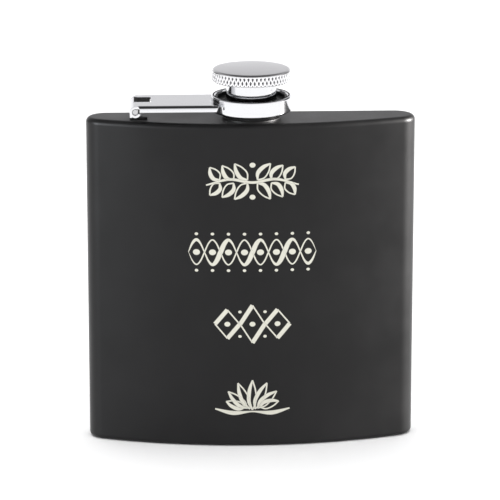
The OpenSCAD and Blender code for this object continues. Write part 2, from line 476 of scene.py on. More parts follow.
def add_bump(tree, shader, height, strength, distance):
    """Bump from a height socket into the shader's normal."""
    node = tree.nodes.new("ShaderNodeBump")
    node.inputs["Strength"].default_value = strength
    node.inputs["Distance"].default_value = distance
    tree.links.new(height, node.inputs["Height"])
    plug(tree, shader, Normal=node.outputs[0])


def plug(tree, shader, **sockets):
    """Links sockets into the shader's inputs, named with _ for each space."""
    for label, socket in sockets.items():
        tree.links.new(socket, shader.inputs[label.replace("_", " ")])


def mix_colors(tree, share, first, second):
    """Mix Color node between two colours, each a socket or fixed, by a share socket."""
    node = tree.nodes.new("ShaderNodeMix")
    node.data_type = "RGBA"
    tree.links.new(share, node.inputs[0])
    for socket, color in zip(node.inputs[6:8], (first, second)):
        feed(tree, socket, color if isinstance(color, bpy.types.NodeSocket) else (*color, 1))
    return node.outputs[2]


def shade(color, factor):
    """Color made darker or lighter, at most white."""
    return tuple(min(1.0, c * factor) for c in color)


def finished(make):
    """Material that make builds, under make's own name; it is built once and then found."""
    name = make.__name__.replace("_", " ")
    return bpy.data.materials.get(name) or make(name)


def coated(name, color, second, roughness, marks, grain, **shader_values):
    """Coat or moulding: handling marks (amount, size) move its roughness and turn its colour
    towards second, and a fine grain (size, strength, height) is its bump."""
    material, tree, shader, place = new_material(name, color, **shader_values)
    smudge = use_effect(tree, "smudges", place, Roughness=roughness, Amount=marks[0],
                        Size=marks[1])
    plug(tree, shader, Roughness=smudge["Roughness"],
         Base_Color=mix_colors(tree, smudge["Mask"], color, second))
    fine = use_effect(tree, "fine_grain", place, Size=grain[0])
    add_bump(tree, shader, fine["Height"], *grain[1:])
    return material


def brushed(name, color, stretch, strength, height, metallic=1.0):
    """Metal whose bump is brush lines; gives (material, tree, shader, object coordinates,
    the lines' socket)."""
    material, tree, shader, place = new_material(name, color, Metallic=metallic)
    lines = use_effect(tree, "brush_lines", place, Stretch=stretch)
    add_bump(tree, shader, lines["Height"], strength, height)
    return material, tree, shader, place, lines["Lines"]


POWDER_GRAIN = (3400.0, 0.16, 0.06 * MM)  # size, strength, height


def black_powder_coat(name):
    """Powder coat of the body: faint handling marks and a slightly uneven black."""
    finish = bpy.context.scene.flask_finish
    color = tuple(finish.lacquer)
    return coated(name, color, shade(color, 1.22), finish.lacquer_roughness, (0.09, 55.0),
                  POWDER_GRAIN, Specular_IOR_Level=0.2, Sheen_Weight=0.16, Sheen_Roughness=0.4)


def hinge_black_painted_shade(name):
    """Black of the hinge leaf's tongue, partly its own black coat and partly painted shade: its
    reflection is all but cut, so that it stays dark at a low angle like the shade in the arm's
    window.
    """
    # painted shade: near-zero specular keeps this black dark where the arm's window is in shade
    return coated(name, (0.006, 0.006, 0.006), (0.010, 0.010, 0.010), 0.6, (0.15, 400.0),
                  POWDER_GRAIN, Specular_IOR_Level=0.03)


def bright_plating(name):
    """Bright plating with faint polishing lines and handling marks."""
    color = tuple(bpy.context.scene.flask_finish.chrome)
    material, tree, shader, place, _ = brushed(name, color, (180.0, 2600.0, 2600.0), 0.05,
                                               0.02 * MM)
    marks = use_effect(tree, "smudges", place, Roughness=0.1, Amount=0.06, Size=260.0)
    plug(tree, shader, Roughness=marks["Roughness"])
    return material


def satin_steel(name):
    """Cap head: straight brush lines on its top, and below its shoulder a bright knurl with
    painted shade, a dark colour, in its pits. The pits are found from the distance to the cap's
    axis."""
    color = tuple(bpy.context.scene.flask_finish.satin)
    material, tree, shader, place, lines = brushed(name, color, (90.0, 4200.0, 500.0), 0.12,
                                                   0.03 * MM)
    steel = mix_colors(tree, lines, color, shade(color, 1.13))
    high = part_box("cap_shell")[1]
    flat = vector_node(tree, "MULTIPLY", place, (1, 1, 0))[0]
    radius = vector_node(tree, "LENGTH", flat)["Value"]
    height = split_xyz(tree, place)[2]
    shoulder = high.z - 1.25 * MM
    pit = spread(tree, radius, high.x - 0.3 * MM, high.x - 0.08 * MM, 1.0, 0.0)
    band = spread(tree, height, shoulder, shoulder + 0.1 * MM, 1.0, 0.0)
    # painted shade: the knurl's pits are coloured dark where shade would fall in them
    pit_shade = math_node(tree, "MULTIPLY", math_node(tree, "MULTIPLY", pit, band), 0.9)
    rough = spread(tree, lines, 0.0, 1.0, 0.3, 0.39)
    top = spread(tree, height, shoulder, shoulder + 0.25 * MM, 0.1, 1.0)
    plug(tree, shader, Base_Color=mix_colors(tree, pit_shade, steel, (0.035, 0.036, 0.04)),
         Roughness=math_node(tree, "MULTIPLY", rough, top))
    return material


def bare_steel(name):
    """Plain machined steel with turning lines."""
    material, tree, shader, _, lines = brushed(name, (0.56, 0.56, 0.57), (220.0, 220.0, 5200.0),
                                               0.08, 0.02 * MM)
    plug(tree, shader, Roughness=spread(tree, lines, 0.0, 1.0, 0.2, 0.34))
    return material


def engraved_metal(name):
    """Bare metal of the cut strokes, with painted shade, a dark colour, along both edges where the
    cut's walls would shade them. The stroke map gives u from 0 to 1 across a stroke."""
    color = tuple(bpy.context.scene.flask_finish.engraved)
    material, tree, shader, _, lines = brushed(name, color, (3600.0, 3600.0, 150.0), 0.15,
                                               0.03 * MM, 0.55)
    across = tree.nodes.new("ShaderNodeUVMap")
    across.uv_map = "stroke"
    u = split_xyz(tree, across.outputs[0])[0]
    middle = math_node(tree, "ABSOLUTE", math_node(tree, "SUBTRACT", u, 0.5))
    # painted shade: the stroke turns dark towards both edges as if shaded by the cut's walls
    edge = spread(tree, middle, 0.36, 0.47, 0.0, 1.0)
    plug(tree, shader, Base_Color=mix_colors(tree, edge, color, (0.02, 0.02, 0.02)),
         Roughness=spread(tree, lines, 0.0, 1.0, 0.34, 0.52))
    return material


def moulded(name, color, roughness):
    """Moulded plastic or rubber, a little darker in its marks."""
    return coated(name, color, shade(color, 0.88), roughness, (0.1, 300.0),
                  (2400.0, 0.1, 0.04 * MM), Specular_IOR_Level=0.4)


def black_plastic(name):
    """Plastic of the ring's liner and the washer."""
    return moulded(name, (0.005, 0.005, 0.005), 0.42)


def gasket_silicone(name):
    """Pale rubber of the seal."""
    return moulded(name, (0.62, 0.62, 0.60), 0.5)


def matt_paper(name):
    """Studio paper, a hair uneven."""
    color = tuple(bpy.context.scene.flask_finish.floor)
    material, tree, shader, place = new_material(name, color, Roughness=0.95,
                                                 Specular_IOR_Level=0.1)
    marks = use_effect(tree, "smudges", place, Size=6.0)
    mixed = mix_colors(tree, marks["Mask"], color, shade(color, 0.995))
    plug(tree, shader, Base_Color=mixed)
    return material


# ---------------------------------------------------------------- pieces


def wall_mesh(sizes):
    """Outer and inner skin of the sheet that makes front, back and ends: the plan's outline and
    the outline moved in by the sheet, each carried straight up, joined at both rims."""
    outline, normals = plan_outline(sizes.front_bulge)
    up = np.linspace(wall_low.z, wall_high.z, 9)
    inset = np.repeat([0, sizes.sheet], len(up))
    points = wrapped(outline, normals, inset, np.concatenate([up, up[::-1]]))
    return new_mesh(points, grid_faces(*points.shape[:2], True, True))


def ring_mesh(corners, steps=144, arc=4):
    """Turned ring: closed outline of (radius, height, corner radius) rows."""
    outline = rounded(corners, arc)
    return new_mesh(*lathe(np.concatenate([outline, outline[:1]]), steps))


def turned_ring(node, bore, corners_mm, steps=144, arc=4):
    """Ring that fills its CAD node's box outside a bore. corners_mm are the radii of its edges:
    lower inner, lower outer, upper outer, upper inner."""
    low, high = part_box(node)
    edges = ((bore, low.z), (high.x, low.z), (high.x, high.z), (bore, high.z))
    return ring_mesh([(*edge, r * MM) for edge, r in zip(edges, corners_mm)], steps, arc)


def liner_mesh():
    """Ring's liner: a thin sleeve with a lip inside it, near the top, that the stem runs in."""
    low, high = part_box("ring_liner")
    lip_low, lip_high = TOP + 4.6 * MM, TOP + 5.2 * MM
    soft, sharp = 0.15 * MM, 0.1 * MM
    return ring_mesh([(high.x, low.z, sharp), (high.x, high.z, sharp),
                      (LINER_BORE_R, high.z, soft), (LINER_BORE_R, lip_high, sharp),
                      (LIP_BORE_R, lip_high, soft), (LIP_BORE_R, lip_low, soft),
                      (LINER_BORE_R, lip_low, sharp), (LINER_BORE_R, low.z, soft)])


def gasket_mesh():
    """Seal: a plain disc with soft rims."""
    low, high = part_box("cap_seal")
    disc = rounded([(0, low.z, 0), (high.x, low.z, 0.2 * MM), (high.x, high.z, 0.1 * MM),
                    (0, high.z, 0)], closed=False)
    return new_mesh(*lathe(disc, 96))


def thread_wave(turn, z, pitch, origin, width, flank):
    """Height of a helical ridge from 0 to 1: a trapezoid of the phase (height - origin) / pitch
    - angle / turn. width and flank are shares of half a pitch."""
    phase = (z - origin) / pitch - turn / (2 * math.pi)
    return np.clip((width - np.abs(phase - np.round(phase)) * 2) / flank, 0, 1)


def faded(z, low, rise, high, fall):
    """1 between two heights and 0 beyond them, with ramps rise and fall long just inside."""
    return np.clip((z - low) / rise, 0, 1) * np.clip((high - z) / fall, 0, 1)


def neck_mesh(sizes):
    """Spout: bore and foot are plain turning, and on the outside the thread's wave, faded in and
    out near both ends, is added to the radius."""
    low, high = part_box("neck_tube")
    rim = 0.1 * MM
    up = np.concatenate([[low.z, low.z + 0.3 * MM],
                         np.linspace(TOP + 2.2 * MM, high.z - 0.25 * MM, 74)])
    outer = np.stack([np.full(len(up), NECK_R), up], 1)
    inner = np.array([[NECK_R - 0.12 * MM, high.z], [NECK_BORE_R + rim, high.z],
                      [NECK_BORE_R, high.z - 0.12 * MM], [NECK_BORE_R, low.z + rim],
                      [NECK_BORE_R + rim, low.z]])
    profile = np.concatenate([outer, inner, outer[:1]])
    start, stop = TOP + 2.6 * MM, high.z - 0.5 * MM

    def thread(turn, r, z):
        ridge = thread_wave(turn, z, sizes.thread_pitch, start, 0.72, 0.42)
        fade = faded(z, start, 0.6 * MM, stop, 0.5 * MM)
        return (high.x - NECK_R) * ridge * fade * (r > NECK_R - TINY)

    return new_mesh(*lathe(profile, 160, lift=thread))


def cap_core_mesh(sizes):
    """Cap body from the ceiling's middle down the threaded inside, round the foot, up the stem
    and over the flange to the middle again. The thread's wave is taken off the radius."""
    low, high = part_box("cap_core")
    ceiling, under = TOP + 9.4 * MM, TOP + 11.2 * MM
    down = np.linspace(ceiling, low.z + 0.15 * MM, 90)
    bore = np.stack([np.full(len(down), CAP_BORE_R), down], 1)
    rest = rounded([(CAP_BORE_R, low.z + 0.1 * MM, 0), (CAP_BORE_R + 0.05 * MM, low.z, 0),
                    (STEM_R, low.z, 0.1 * MM), (STEM_R, under, 0.3 * MM),
                    (high.x, under, 0.25 * MM), (high.x, high.z, 0.2 * MM), (0, high.z, 0)],
                   closed=False)
    profile = np.concatenate([[[0, ceiling]], bore, rest])
    start, stop = low.z + 1.6 * MM, TOP + 8.0 * MM

    def thread(turn, r, z):
        ridge = thread_wave(turn, z, sizes.thread_pitch, start, 0.6, 0.4)
        fade = faded(z, start, MM, stop, 0.6 * MM)
        return -0.3 * MM * ridge * fade * (np.abs(r - CAP_BORE_R) < TINY)

    return new_mesh(*lathe(profile, 144, lift=thread))


def cap_head_mesh(sizes):
    """Cap head: from the hollow's middle out, down to the rim, up the knurled side, over the
    rounded edge and the slight dome. The knurl lowers the radius by depth * min(wave(a), wave(b)),
    steepened and held between 0 and 1, where a and b are count * turns plus and minus height
    over the diamond's height, and wave rises from 0 to 1 and back in each whole number: diamond
    pits between crossing ridges."""
    low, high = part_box("cap_shell")
    shoulder, hollow_z = TOP + 14.2 * MM, TOP + 13.5 * MM
    edge, rim = 0.8 * MM, 0.14 * MM
    flat_r, knurl_z = high.x - edge, shoulder - edge
    inside = rounded([(0, hollow_z, 0), (HEAD_BORE_R, hollow_z, 0.3 * MM),
                      (HEAD_BORE_R, low.z, 0.1 * MM), (high.x - rim, low.z, 0)], closed=False)
    band = np.linspace(low.z + rim, knurl_z, 34)
    side = np.stack([np.full(len(band), high.x), band], 1)
    turn = np.linspace(0, math.pi / 2, 9)[1:]
    arc = np.stack([flat_r + edge * np.cos(turn), knurl_z + edge * np.sin(turn)], 1)
    r = np.linspace(flat_r, 0, 14)[1:]
    dome = np.stack([r, shoulder + (high.z - shoulder) * (1 - (r / flat_r) ** 2)], 1)

    def wave(x):
        return 1 - np.abs(2 * (x - np.floor(x)) - 1)

    def knurl(angle, radius, z):
        turns = angle / (2 * math.pi) * sizes.knurl_count
        height = (z - low.z) / sizes.knurl_pitch
        cut = np.minimum(wave(turns + height), wave(turns - height))
        cut = np.clip(cut * 1.5 - 0.2, 0, 1)
        fade = faded(z, low.z + 0.1 * MM, 0.25 * MM, knurl_z, 0.2 * MM)
        return -sizes.knurl_depth * cut * fade * (radius > high.x - TINY)

    profile = np.concatenate([inside, side, arc, dome])
    return new_mesh(*lathe(profile, sizes.knurl_count * 12, lift=knurl))


def pin_mesh():
    """Hinge pin: a straight pin with softly rounded ends, turned about the hinge."""
    low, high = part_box("hinge_pin")
    half, shank = (high.y - low.y) / 2, (high.z - low.z) / 2
    profile = rounded([(0, half, 0), (shank, half, 0.15 * MM), (shank, -half, 0.15 * MM),
                       (0, -half, 0)], closed=False)
    points, faces = lathe(profile, 40)
    return new_mesh(points[:, [0, 2, 1]] + [HINGE[0], 0, HINGE[2]], faces)


def rounded_plate(low, high, corner, rim, steps=8):
    """Flat plate between two corners: its plan is a rectangle with rounded corners, its section
    has softened rims, and both faces close in their middle."""
    flat = rounded([(low.x, low.y, corner), (high.x, low.y, corner), (high.x, high.y, corner),
                    (low.x, high.y, corner)], steps)
    middle = flat.mean(0)
    out = flat - middle
    length = np.linalg.norm(out, axis=1)[:, None]
    turn = np.linspace(0, math.pi / 2, 4)
    inset = rim * (1 - np.concatenate([np.sin(turn), np.cos(turn)]))
    level = np.concatenate([low.z + rim * (1 - np.cos(turn)), high.z - rim * (1 - np.sin(turn))])
    ring = middle + out[:, None] * (1 - inset[None, :, None] / length[:, None])
    ring = np.concatenate([ring, np.broadcast_to(level[None, :, None], (*ring.shape[:2], 1))], 2)
    poles = [np.broadcast_to(np.array([*middle, z]), (len(flat), 1, 3)) for z in (low.z, high.z)]
    points = np.concatenate([poles[0], ring, poles[1]], 1)
    return points.reshape(-1, 3), grid_faces(len(flat), points.shape[1], True, False)


def leaf_mesh():
    """Hinge leaf: a plate on the flask's top, a tongue of the same sheet that rises and rolls
    round the pin, and the tongue's flat end that fills the arm's window. The tongue is a flat
    section carried along its middle line."""
    low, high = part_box("hinge_bracket")
    thick, roll, soft = 0.7 * MM, 1.2 * MM, 0.1 * MM
    plate = rounded_plate(low, Vector((HINGE[0] + 3.4 * MM, high.y, low.z + thick)), 0.9 * MM,
                          0.12 * MM)
    turn = np.radians(np.linspace(180, -120, 40))
    curl = np.stack([HINGE[0] + roll * np.cos(turn), HINGE[2] + roll * np.sin(turn)], 1)
    rise = np.linspace(low.z + 0.2 * MM, HINGE[2], 9)[:-1]
    line = np.concatenate([np.stack([np.full(8, HINGE[0] - roll), rise], 1), curl])
    path = np.stack([line[:, 0], np.full(len(line), (low.y + high.y) / 2), line[:, 1]], 1)
    along = unit_steps(path)
    normals = np.stack([-along[:, 2], along[:, 1], along[:, 0]], 1)
    half_t, half_w = thick / 2, (high.y - low.y) / 2
    section = rounded([(-half_t, -half_w, soft), (half_t, -half_w, soft),
                       (half_t, half_w, soft), (-half_t, half_w, soft)], 2)
    tongue = sweep(path, normals, (0, 1, 0), section, soft)
    end = rounded_plate(Vector((HINGE[0] + 0.9 * MM, low.y, HINGE[2] + 0.3 * MM)),
                        Vector((HINGE[0] + 4.15 * MM, high.y, HINGE[2] + 1.4 * MM)),
                        0.5 * MM, soft)
    return new_mesh(*join_parts([plate, tongue, end]))


def strap_mesh(sizes):
    """Middle surface of the stamped arm on one grid. Along it runs from the ring to the left
    and round the pin; across it runs down the front flange, over the bend, the flat web, the
    other bend and flange. Past the channel the bends open flat into the rolled ends. The
    window's quads and the flanges past the channel are left out."""
    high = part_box("arm_strap")[1]
    half = sizes.sheet / 2
    web = high.z - half
    bend, flange = MM - half, 1.7 * MM - half
    flat_y = high.y - MM
    start, notch = HINGE[0] + 1.2 * MM, HINGE[0] + 4.4 * MM
    roll = web - HINGE[2]
    turn = np.radians(np.linspace(90, 335, 44))[:, None]
    # across: the flat with the window's edges, then the bend and the flange on either side
    quarter = np.linspace(0, math.pi / 2, 6)[1:]
    window = (-2.2 * MM, 5.2 * MM)
    flats = np.unique(np.concatenate([np.linspace(-flat_y, flat_y, 31), window]))
    bend_y, bend_z = flat_y + bend * np.sin(quarter), -bend * (1 - np.cos(quarter))
    y = np.concatenate([bend_y, np.full(3, flat_y + bend)])
    z = np.concatenate([bend_z, np.linspace(-bend, -flange, 4)[1:]])
    across_y = np.concatenate([-y[::-1], flats, y])
    across_z = np.concatenate([z[::-1], 0 * flats, z])
    open_y = np.concatenate([flat_y + quarter / quarter[-1] * MM, np.full(3, high.y)])
    open_y = np.concatenate([-open_y[::-1], flats, open_y])
    # along: from the ring to the notch, to the start of the channel, to the pin and round it
    ring_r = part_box("captive_ring")[1].x - 0.08 * MM
    reach = -np.sqrt(ring_r**2 - np.clip(np.abs(across_y), 0, 6.1 * MM) ** 2)
    reach = reach - np.clip(-across_z, 0, 1) * 0.45
    share = np.linspace(0, 1, 25)[:, None]
    to_notch = reach * (1 - share) + notch * share
    to_start = notch + (start - notch) * np.linspace(0, 1, 7)[1:, None] + 0 * reach
    to_pin = np.linspace(start, HINGE[0], 7)[1:-1, None] + 0 * reach
    round_pin = HINGE[0] + roll * np.cos(turn) + 0 * reach
    x = np.concatenate([to_notch, to_start, to_pin, round_pin])
    channel_rows = len(to_notch) + len(to_start)
    curl_rows = slice(channel_rows + len(to_pin), None)
    opened = np.clip((start - x) / (0.7 * MM), 0, 1)
    opened[curl_rows] = 1
    opened = opened**2 * (3 - 2 * opened)
    # the far left corner is rounded, and the flange follows it
    corner, begin = 4.2 * MM, HINGE[0] + 3.2 * MM
    run = np.clip(begin - x, 0, None)
    run[curl_rows] = begin - HINGE[0] + roll * (turn - math.pi / 2)
    cut = corner * (1 - np.sqrt(np.clip(1 - (run / corner) ** 2, 0, 1)))
    cut = np.clip(cut, 0, high.y - window[1] - 0.5 * MM)
    place_y = across_y * (1 - opened) + open_y * opened
    place_y = place_y - cut * np.clip((place_y - window[1]) / (high.y - window[1]), 0, 1)
    place_z = web + across_z * (1 - opened)
    place_z[curl_rows] = HINGE[2] + roll * np.sin(turn)
    columns = len(across_y)
    faces = grid_faces(len(x), columns)
    row, column = faces[:, 0] // columns, faces[:, 0] % columns
    mid_y = (across_y[column] + across_y[column + 1]) / 2
    in_window = (row >= len(to_notch) - 1) & (mid_y > window[0]) & (mid_y < window[1])
    in_flange = ((column < 3) | (column >= columns - 4)) & (row >= channel_rows - 1)
    points = np.stack([x, place_y, place_z], 2).reshape(-1, 3)
    used, faces = np.unique(faces[~in_window & ~in_flange], return_inverse=True)
    return new_mesh(points[used], faces.reshape(-1, 4))


def stroke(points, widths, samples=40):
    """Centre line of a ribbon through points (mm, on the front) as a smooth curve, with its
    width at each sample: Catmull-Rom through the points, width likewise."""
    control = np.column_stack([np.asarray(points, float), np.asarray(widths, float)])
    control = np.concatenate([2 * control[:1] - control[1:2], control,
                              2 * control[-1:] - control[-2:-1]])
    t = np.linspace(0, len(points) - 1, samples)
    k = np.clip(t.astype(int), 0, len(points) - 2)
    f = (t - k)[:, None]
    a, b, c, d = (control[k + n] for n in range(4))
    return 0.5 * (2 * b + (c - a) * f + (2 * a - 5 * b + 4 * c - d) * f**2
                  + (3 * b - a - 3 * c + d) * f**3)


def ribbon(line, bulge):
    """One engraved stroke on the curved front, as points, faces and stroke map. Its edges are
    its centre line moved sideways by half its width; seven columns across make the raised lips
    of coat and the flat cut between, and seven more lie under them."""
    share = np.array([-1.0, -0.86, -0.7, 0.0, 0.7, 0.86, 1.0])
    proud = np.array([-0.03, 0.045, 0.028, 0.03, 0.028, 0.045, -0.03]) * MM
    centre, width = line[:, :2] * MM, np.clip(line[:, 2:3], 0.04, None) * MM
    along = unit_steps(centre)
    left = np.stack([-along[:, 1], along[:, 0]], 1)
    place = centre[:, None] + left[:, None] * share[None, :, None] * width[:, None] / 2
    y, normal = front_surface(place[..., 0], bulge)
    flat = np.stack([place[..., 0], y, place[..., 1]], 2)
    sunk = flat[:, ::-1] - normal[:, ::-1] * 0.09 * MM
    points = np.concatenate([flat + normal * proud[None, :, None], sunk], 1)
    rows, columns = points.shape[:2]
    ends = np.array([[r * columns + c, r * columns + c + 1, r * columns + columns - 2 - c,
                      r * columns + columns - 1 - c]
                     for r in (0, rows - 1) for c in range(len(share) - 1)])
    faces = np.concatenate([grid_faces(rows, columns, False, True), ends])
    u = np.concatenate([share / 2 + 0.5, np.ones(len(share))])
    u, v = np.meshgrid(u, np.linspace(0, 1, rows))
    return points.reshape(-1, 3), faces, np.stack([u, v], 2).reshape(-1, 2)


def leaf(x, z, angle, length, fat, bold):
    """Leaf outline of two strokes from its foot to its tip, one bold and one thin."""
    c, s = math.cos(angle), math.sin(angle)

    def side(out, width):
        places = [(0, 0), (0.28 * length, out), (0.66 * length, 0.85 * out), (length, 0)]
        points = [(x + u * c - v * s, z + u * s + v * c) for u, v in places]
        return stroke(points, [THIN, width, width, THIN], 26)

    return [side(fat, bold), side(-fat, THIN)]


def dot(x, z, size):
    """Round dot as one short stroke whose width follows a circle."""
    a = np.linspace(-1, 1, 17) * 0.985
    return np.stack([x + a * size / 2, 0 * a + z, size * np.sqrt(1 - a**2)], 1)


def half_turned(x, z, places):
    """Points at places on the right of (x, z) and mirrored on its left, left to right."""
    left = [(x - u, z + v) for u, v in reversed(places) if u]
    return left + [(x + u, z + v) for u, v in places]


def sprig(z, bold):
    """Stem with three pairs of leaves to either side and a dot above and below."""
    stem = half_turned(0, z, [(0, -0.4), (6.5, 0.5), (13, -1.2)])
    lines = [stroke(stem, [THIN, 0.9, 0.9, 0.9, THIN], 60)]
    for side in (-1, 1):
        for k in range(3):
            for up in (-1, 1):
                tilt = math.radians(52 * up)
                lines += leaf(side * (1.4 + 3.9 * k), z - 0.1 + 0.45 * up,
                              tilt if side > 0 else math.pi - tilt, 5.9 - 0.7 * k, 1.15,
                              bold * 0.9)
    return lines + [dot(0, z + 4.6, 1.7), dot(0, z - 4.6, 1.7)]


def double_wave(z, bold):
    """A bold and a thin sine wave that cross, with dots in and beside their loops."""
    half, rise, waves = 18, 3.6, 4
    turns = np.linspace(0, waves * 2 * math.pi, 33)
    taper = np.clip(np.minimum(turns, turns[-1] - turns) / 1.5, 0.15, 1)
    x = -half + 2 * half * turns / turns[-1]
    lines = [stroke(np.stack([x, z + rise * np.sin(turns)], 1),
                    bold * (0.72 + 0.42 * np.cos(turns)) * taper, 260),
             stroke(np.stack([x, z - rise * np.sin(turns)], 1),
                    THIN * np.clip(taper * 1.5, 0, 1), 260)]
    for k in range(2 * waves):
        x = -half + half * (k + 0.5) / waves
        lines += [dot(x, z, 2.0), dot(x, z + 5.3, 1.0), dot(x, z - 5.3, 1.0)]
    return lines


def lozenges(z, bold):
    """Three lozenges with a dot in each and small dots between them."""
    lines = []
    for k in (-1, 0, 1):
        x, w, h = 7.1 * k, 3.5, 4.2 if k else 5.5
        corners = [(x - w, z), (x, z + h), (x + w, z), (x, z - h), (x - w, z)]
        for a, b, width in zip(corners, corners[1:], (bold, THIN, bold, THIN)):
            middle = ((a[0] + b[0]) / 2, (a[1] + b[1]) / 2)
            lines.append(stroke([a, middle, b], [width] * 3, 12))
        lines.append(dot(x, z, 1.7))
    return lines + [dot(x, z + y, 1.0) for x in (-3.55, 3.55) for y in (-3.6, 3.6)]


def fan(z, bold):
    """Seven leaves that open from one foot, over a curved line."""
    lines = []
    for k in range(-3, 4):
        lines += leaf(0.7 * k, z - 4.6 + 0.25 * abs(k), math.radians(90 - 24 * k),
                      8.8 - 0.35 * k * k, 1.0, bold * 0.85)
    ground = half_turned(0, z, [(0, -5.1), (5.5, -5.5), (10.6, -4.3)])
    return lines + [stroke(ground, [THIN, bold, THIN, bold, THIN], 60)]


def ornament_mesh(sizes):
    """Four rows of plain line ornament, each at its height above the table in mm."""
    bold = sizes.stroke / MM
    lines = sprig(77.9, bold) + double_wave(57.3, bold) + lozenges(36.3, bold) + fan(15.5, bold)
    parts = [ribbon(line, sizes.front_bulge) for line in lines]
    points, faces = join_parts([part[:2] for part in parts])
    return new_mesh(points, faces, np.concatenate([uv for _, _, uv in parts]))


# ---------------------------------------------------------------- operators


class FlaskPiece:
    """What every operator of this add-on shares."""

    bl_options = {"REGISTER", "UNDO"}

    def sizes(self):
        return bpy.context.scene.flask_sizes


class FLASK_OT_body(FlaskPiece, bpy.types.Operator):
    """Builds the lacquered body: wall, top, base and the weld collar"""

    bl_idname = "flask.body"
    bl_label = "Body"

    def execute(self, context):
        sizes = self.sizes()
        top = pressed_plate(sizes, TOP - wall_high.z, NECK_R, 0.0, TOP, 1)
        base = pressed_plate(sizes, wall_low.z - BASE, 0.0, MM, BASE, -1)
        collar = turned_ring("neck_collar", NECK_R, (0, 0, 0.22, 0.05))
        for name, mesh, node in (("body_wall", wall_mesh(sizes), "side_wall"),
                                 ("body_top", top, "top_plate"),
                                 ("body_base", base, "base_plate"),
                                 ("weld_collar", collar, "neck_collar")):
            add_piece(name, mesh, black_powder_coat, "flask", "black_lacquer", node)
        return {"FINISHED"}


class FLASK_OT_neck(FlaskPiece, bpy.types.Operator):
    """Builds the threaded spout"""

    bl_idname = "flask.neck"
    bl_label = "Neck"

    def execute(self, context):
        add_piece("threaded_neck", neck_mesh(self.sizes()), bare_steel, "flask", "bare_steel",
                  "neck_tube")
        return {"FINISHED"}


def finish_leaf(mesh):
    """Black on the leaf's tongue, its own coat and painted shade for the arm's window, and bright
    plating on its curl left of the pin.
    """
    mesh.materials.append(finished(hinge_black_painted_shade))
    mesh.materials.append(finished(bright_plating))
    centres = np.empty(len(mesh.polygons) * 3, np.float32)
    mesh.polygons.foreach_get("center", centres)
    # painted shade: the tongue above the plate gets the reflectionless black that stands for the
    # window's shade
    tongue = centres[2::3] > TOP + 0.75 * MM
    curl = tongue & (centres[0::3] < HINGE[0] - 0.45 * MM)
    mesh.polygons.foreach_set("material_index", tongue.astype(np.int32) + curl)


class FLASK_OT_hinge(FlaskPiece, bpy.types.Operator):
    """Builds the hinge leaf and its pin"""

    bl_idname = "flask.hinge"
    bl_label = "Hinge"

    def execute(self, context):
        piece = add_piece("hinge_leaf", leaf_mesh(), black_powder_coat, "flask",
                          "black_lacquer", "hinge_bracket")
        finish_leaf(piece.data)
        add_piece("hinge_rivet", pin_mesh(), bare_steel, "flask", "bare_steel", "hinge_pin")
        return {"FINISHED"}


class FLASK_OT_arm(FlaskPiece, bpy.types.Operator):
    """Builds the stamped arm, the ring and the ring's liner"""

    bl_idname = "flask.arm"
    bl_label = "Arm and ring"

    def execute(self, context):
        sizes = self.sizes()
        strap = add_piece("arm_strap_plate", strap_mesh(sizes), bright_plating, "arm",
                          "polished_steel", "arm_strap")
        wall = strap.modifiers.new("sheet", "SOLIDIFY")
        wall.thickness, wall.offset, wall.use_even_offset = sizes.sheet, 0, True
        bevelled(strap, 0.12 * MM)
        ring = turned_ring("captive_ring", RING_BORE_R, (0.6, 0.6, 0.6, 0.6), 160, 7)
        add_piece("stem_ring", ring, bright_plating, "arm", "polished_steel", "captive_ring")
        add_piece("ring_insert", liner_mesh(), black_plastic, "arm", "black_plastic",
                  "ring_liner")
        return {"FINISHED"}


class FLASK_OT_cap(FlaskPiece, bpy.types.Operator):
    """Builds the cap's body, foot ring, gasket and washer"""

    bl_idname = "flask.cap"
    bl_label = "Cap"

    def execute(self, context):
        add_piece("cap_body", cap_core_mesh(self.sizes()), bright_plating, "cap",
                  "polished_steel", "cap_core")
        foot = turned_ring("foot_ring", STEM_R, (0.05, 0.18, 0.18, 0.05))
        add_piece("cap_foot", foot, black_powder_coat, "cap", "black_lacquer", "foot_ring")
        add_piece("cap_gasket", gasket_mesh(), gasket_silicone, "cap", "seal_rubber", "cap_seal")
        washer = turned_ring("slip_washer", WASHER_BORE_R, (0.08, 0.08, 0.08, 0.08))
        add_piece("loose_washer", washer, black_plastic, "washer", "black_plastic",
                  "slip_washer")
        return {"FINISHED"}


class FLASK_OT_cap_head(FlaskPiece, bpy.types.Operator):
    """Builds the knurled cap head"""

    bl_idname = "flask.cap_head"
    bl_label = "Knurled head"

    def execute(self, context):
        add_piece("cap_head", cap_head_mesh(self.sizes()), satin_steel, "cap", "satin_steel",
                  "cap_shell")
        return {"FINISHED"}


class FLASK_OT_ornament(FlaskPiece, bpy.types.Operator):
    """Lays the engraved ornament on the front"""

    bl_idname = "flask.ornament"
    bl_label = "Engraving"

    def execute(self, context):
        add_piece("engraved_ornament", ornament_mesh(self.sizes()), engraved_metal, "flask",
                  "bare_steel")
        return {"FINISHED"}


def area_light(name, place, aim, size, power, color=(1, 1, 1)):
    """Square soft light at place, facing aim."""
    lamp = bpy.data.lights.new(name, "AREA")
    lamp.shape, lamp.size, lamp.energy, lamp.color = "SQUARE", size, power, color
    light = bpy.data.objects.new(name, lamp)
    bpy.context.scene.collection.objects.link(light)
    light.location = place
    light.rotation_euler = (Vector(aim) - Vector(place)).to_track_quat("-Z", "Y").to_euler()
    return light


def ramp(tree, value, stops):
    """Color Ramp of grey levels at positions 0 to 1; gives its colour socket."""
    node = tree.nodes.new("ShaderNodeValToRGB")
    tree.links.new(value, node.inputs[0])
    row = node.color_ramp
    row.elements[0].position, row.elements[1].position = 0.0, 1.0
    for position, _ in stops[1:-1]:
        row.elements.new(position)
    for element, (position, level) in zip(row.elements, stops):
        element.position = position
        element.color = (level, level, level, 1)
    return node.outputs[0]


